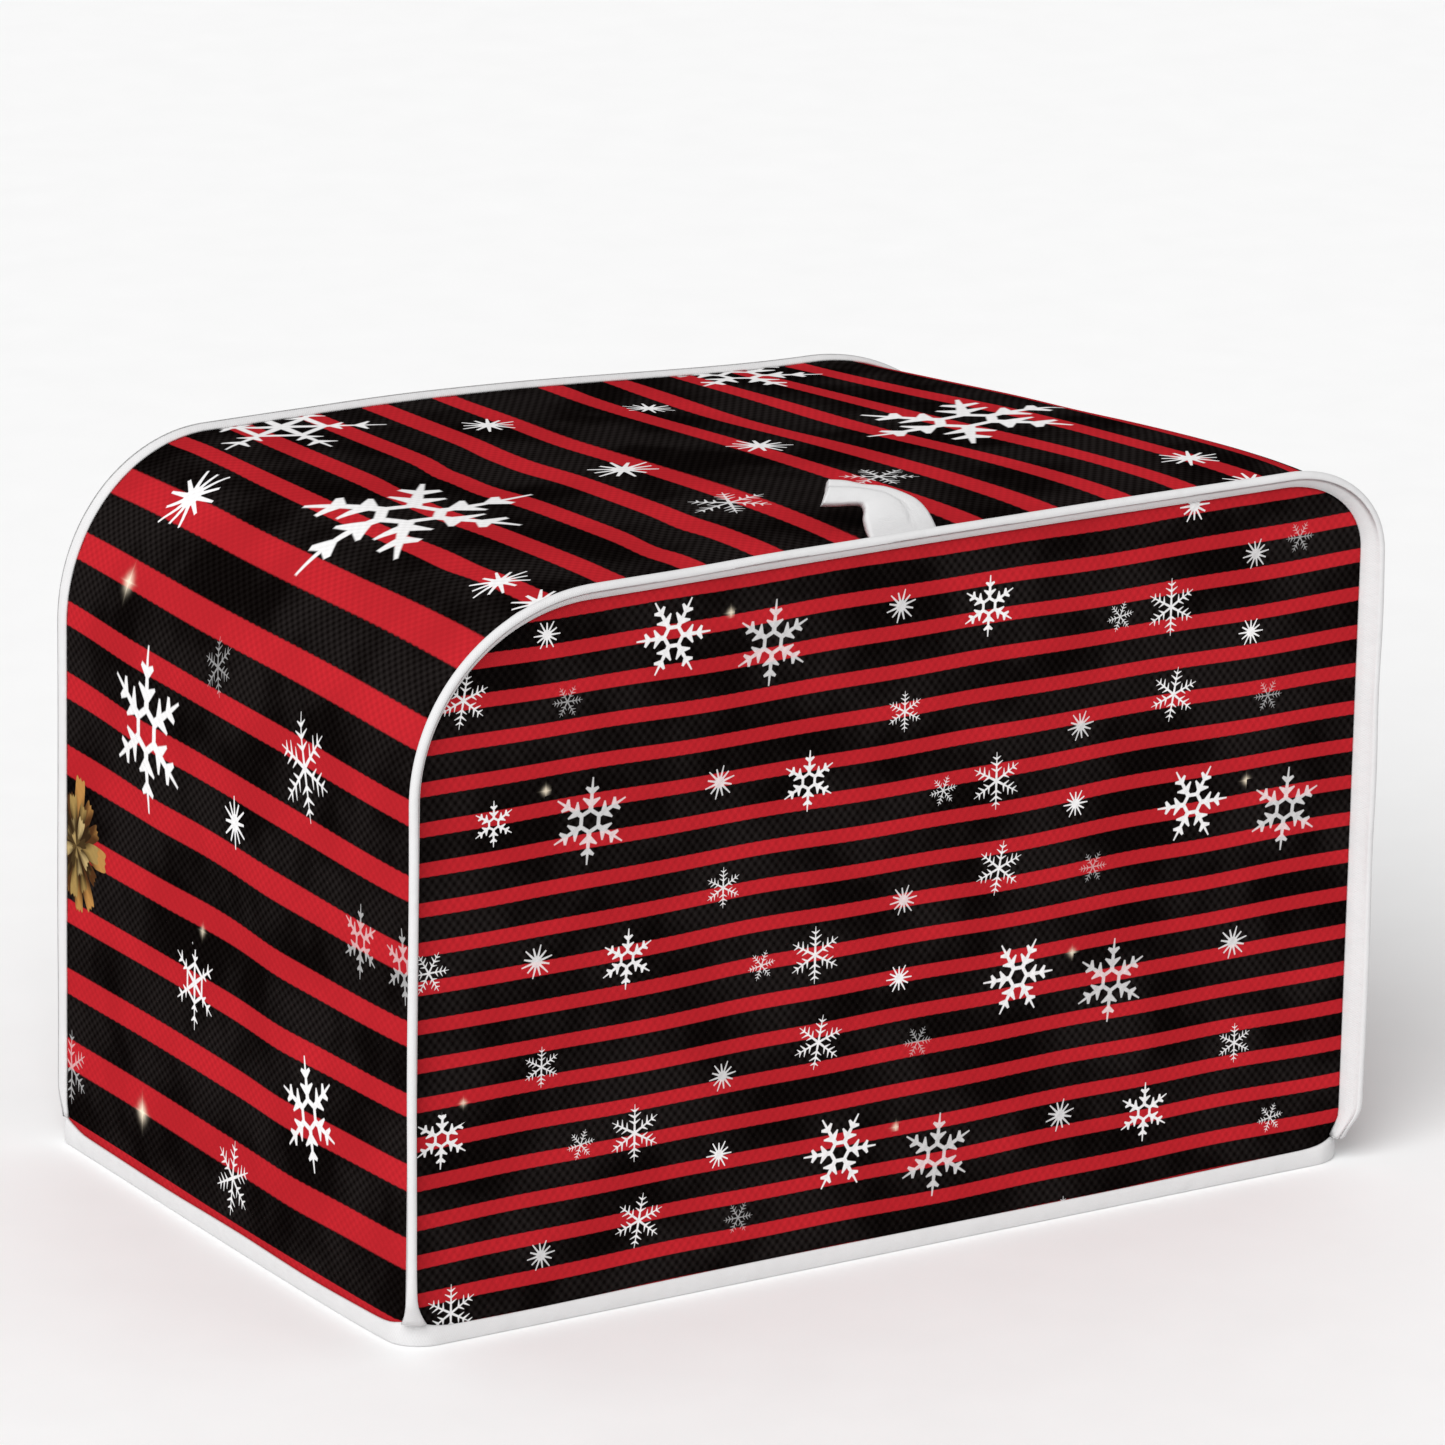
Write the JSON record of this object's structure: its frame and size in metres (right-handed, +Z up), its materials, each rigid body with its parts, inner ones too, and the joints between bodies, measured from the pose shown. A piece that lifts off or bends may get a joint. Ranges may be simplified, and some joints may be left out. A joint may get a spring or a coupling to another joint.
{
  "type": "toaster cover",
  "caption": "Fitted fabric cover that slips over a toaster: lightly padded printed knit panels, white bound seams and hem, and a white tape pull loop on the front top edge.",
  "frame": {"origin": "on the supporting surface, below the middle of the whole cover, bindings included", "axes": "+Z up, +Y from the front panel, which carries the pull loop, to the back panel, +X along the cover's length to the right as seen from the front"},
  "size_m": [0.3158, 0.1988, 0.2185],
  "materials": {
    "printed_knit": "matt lightly padded mesh knit, printed all over with crimson stripes and white winter motifs on black",
    "binding_tape": "soft matt white woven tape"
  },
  "bodies": {
    "root": {"front_panel": "printed_knit", "back_panel": "printed_knit", "gusset": "printed_knit", "front_seam_binding": "binding_tape", "back_seam_binding": "binding_tape", "hem_binding": "binding_tape", "pull_loop": "binding_tape"}
  },
  "joints": []
}
